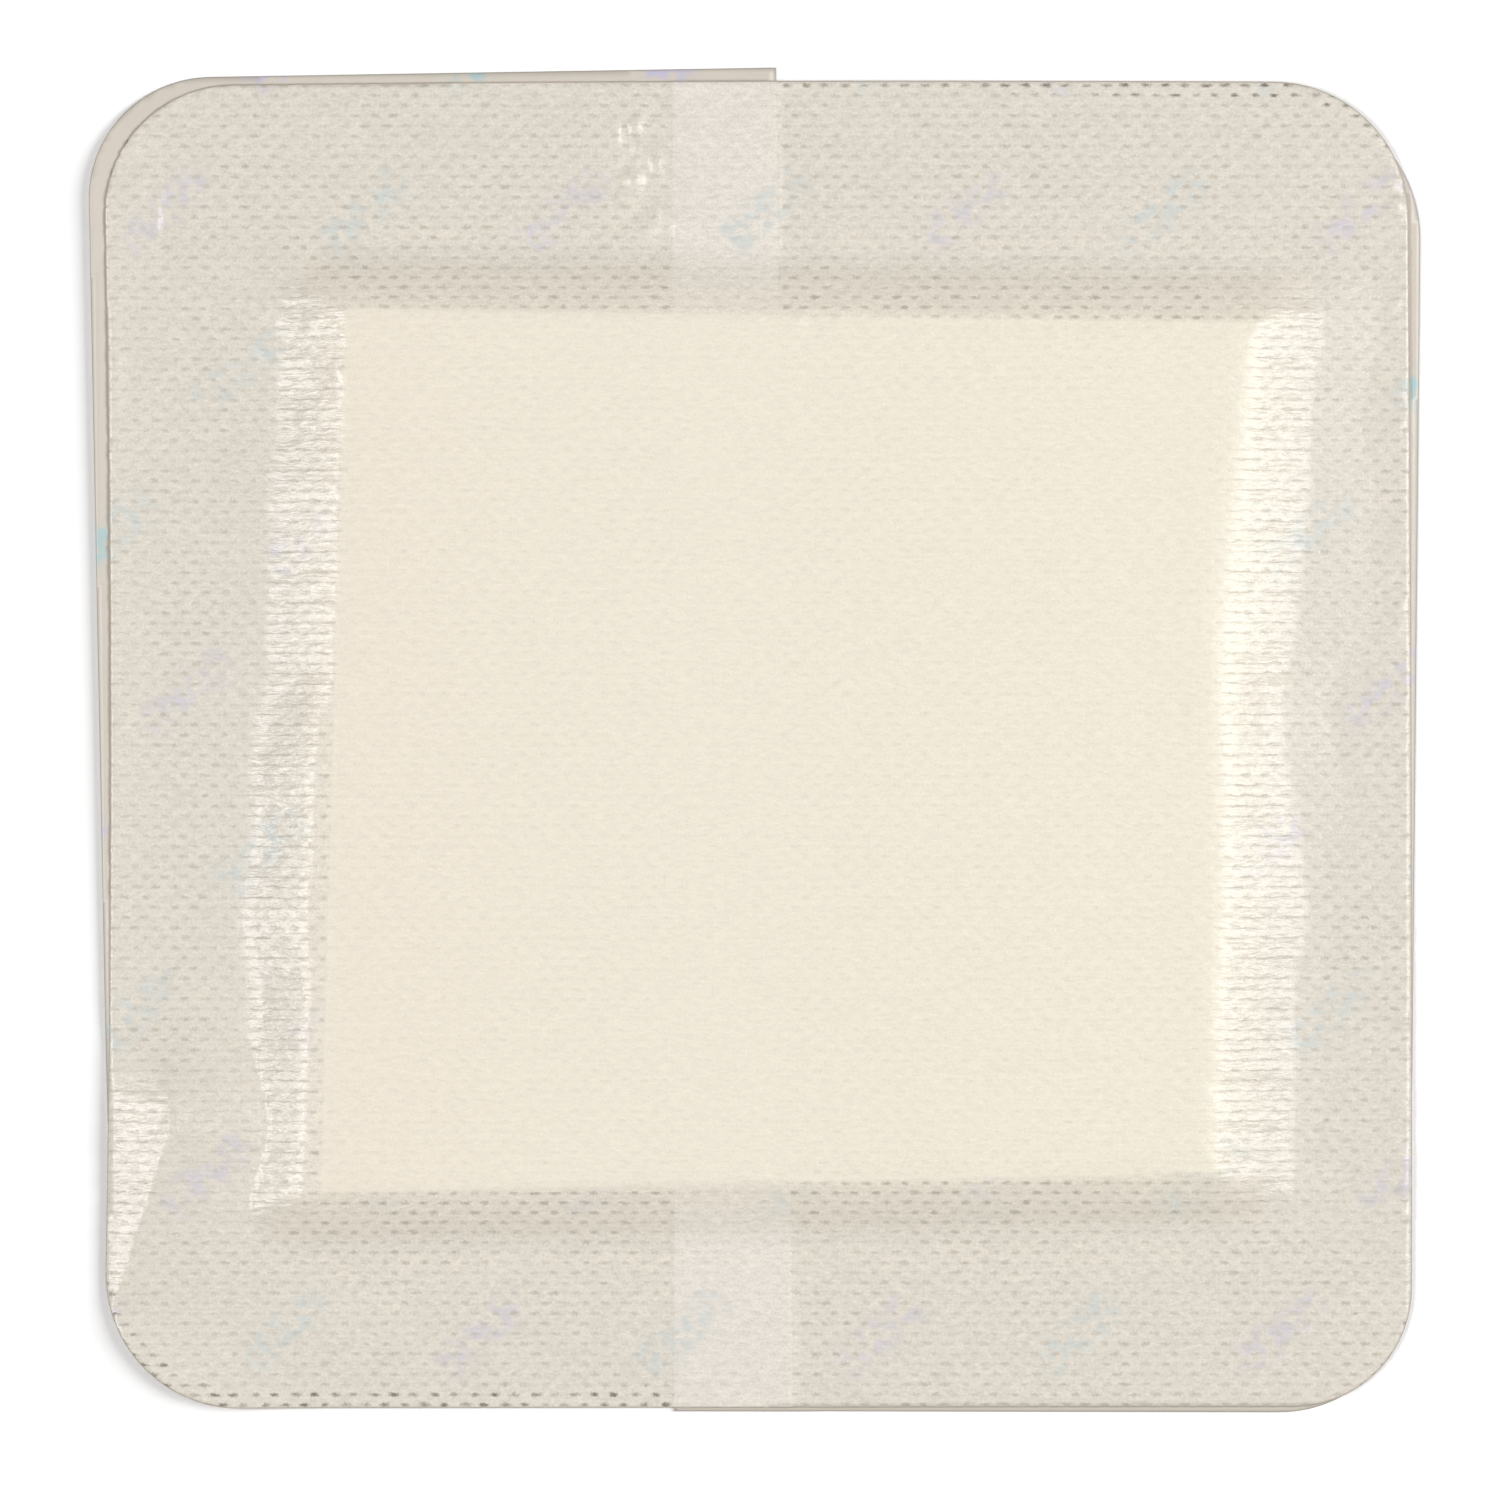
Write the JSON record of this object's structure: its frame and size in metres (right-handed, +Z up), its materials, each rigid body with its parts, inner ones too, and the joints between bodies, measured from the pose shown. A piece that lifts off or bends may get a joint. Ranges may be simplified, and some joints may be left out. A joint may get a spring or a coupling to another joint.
{
  "type": "bordered foam dressing",
  "caption": "Square foam wound dressing: a foam pad under a thin nonwoven cover that tents down to a sticky brim, lying on two overlapping paper release liners.",
  "frame": {"origin": "middle of the whole footprint, on the surface that the release liners lie on", "axes": "+Z up, out of the backing cover; +Y towards the dressing's top edge; +X to its right, seen from above"},
  "size_m": [0.1536, 0.1552, 0.0047],
  "materials": {
    "nonwoven": "thin, slightly see-through embossed nonwoven with a faint gloss",
    "foam": "cream open-cell polyurethane foam, matt",
    "release_paper": "glazed silicone-coated paper, satin"
  },
  "bodies": {
    "root": {"backing_cover": "nonwoven", "foam_pad": "foam", "liner_right": "release_paper", "liner_left": "release_paper"}
  },
  "joints": []
}
